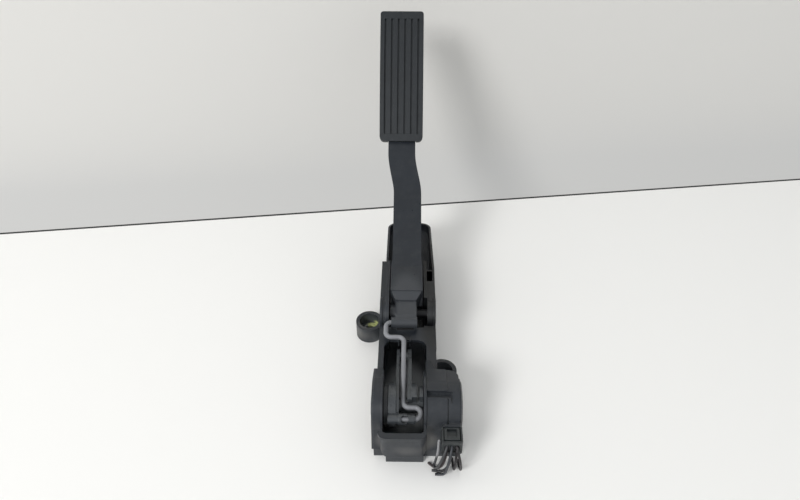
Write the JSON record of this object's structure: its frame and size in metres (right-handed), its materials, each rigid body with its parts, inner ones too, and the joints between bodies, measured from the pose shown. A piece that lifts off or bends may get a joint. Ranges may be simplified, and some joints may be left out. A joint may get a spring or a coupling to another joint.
{
  "type": "accelerator pedal",
  "caption": "Drive-by-wire accelerator pedal: ribbed foot pad on a hinged arm, bent link rod to a sprung drum, moulded bracket and a rotary position sensor with its harness plug.",
  "frame": {"origin": "on the flat mounting face under the bracket, straight below the arm's pivot", "axes": "+Z out of the mounting face towards the pedal, +Y along the unit from the sensor end to the foot pad, X along the pivots with the sensor on +X"},
  "size_m": [0.0898, 0.371, 0.2223],
  "materials": {
    "black_plastic": "grained glass-filled moulding",
    "black_plastic_smooth": "smoother moulding, slightly dusty",
    "pad_rubber": "matt ribbed rubber",
    "rubber_stop": "matt",
    "seal_rubber": "matt grey",
    "zinc_steel": "zinc plated",
    "spring_steel": "oiled spring steel",
    "acetal": "natural acetal",
    "friction_resin": "filled resin",
    "circuit_board": "solder mask",
    "tinned_brass": "tinned",
    "plug_plastic": "smooth grey-green black",
    "magnet_ferrite": "sintered",
    "wire_brown": "thin insulation",
    "wire_grey": "thin insulation",
    "wire_dark": "thin insulation",
    "wire_white": "thin insulation",
    "wire_slate": "thin insulation"
  },
  "bodies": {
    "bracket": {"bracket_housing": "black_plastic", "left_mount_sleeve": "zinc_steel", "right_mount_sleeve": "zinc_steel", "pivot_pin": "spring_steel", "pivot_pin_clip": "spring_steel", "full_travel_stop": "rubber_stop", "idle_stop": "rubber_stop", "spring_cover": "black_plastic_smooth", "left_shaft_bush": "acetal", "right_shaft_bush": "acetal", "wave_washer": "spring_steel", "friction_ring": "friction_resin", "return_spring_outer": "spring_steel", "return_spring_inner": "spring_steel", "sensor_housing": "black_plastic", "sensor_cover": "black_plastic_smooth", "sensor_circuit_board": "circuit_board", "sensor_terminals": "tinned_brass", "sensor_screws": "zinc_steel", "sensor_seal": "seal_rubber", "plug_housing": "plug_plastic", "plug_latch": "plug_plastic", "plug_seal": "seal_rubber", "wire_1": "wire_brown", "wire_2": "wire_grey", "wire_3": "wire_dark", "wire_4": "wire_white", "wire_5": "wire_slate", "wire_6": "wire_dark"},
    "arm": {"pedal_arm": "black_plastic", "foot_pad": "pad_rubber", "left_hub_bush": "acetal", "right_hub_bush": "acetal"},
    "link": {"link_rod": "zinc_steel"},
    "lever": {"drum_lever": "black_plastic_smooth", "drum_shaft": "zinc_steel", "spring_carrier": "black_plastic_smooth", "sensor_rotor": "acetal", "rotor_magnet": "magnet_ferrite"}
  },
  "joints": [
    {"name": "arm_press", "type": "hinge", "parent": "bracket", "child": "arm", "pos_m": [0, 0, 0.035], "axis": [-1, 0, 0], "range_deg": [0, 15], "stiffness_Nm_per_rad": 8, "springref_deg": -14.32},
    {"name": "lever_turn", "type": "hinge", "parent": "bracket", "child": "lever", "pos_m": [0, -0.0924, 0.0275], "axis": [-1, 0, 0], "range_deg": [0, 15]},
    {"name": "link_swing", "type": "hinge", "parent": "arm", "child": "link", "pos_m": [0, -0.01762, 0.04212], "axis": [-1, 0, 0], "range_deg": [-15, 0]}
  ],
  "couplings": [
    {"joint": "lever_turn", "follows": "arm_press", "ratio": 1},
    {"joint": "link_swing", "follows": "arm_press", "ratio": -1}
  ]
}
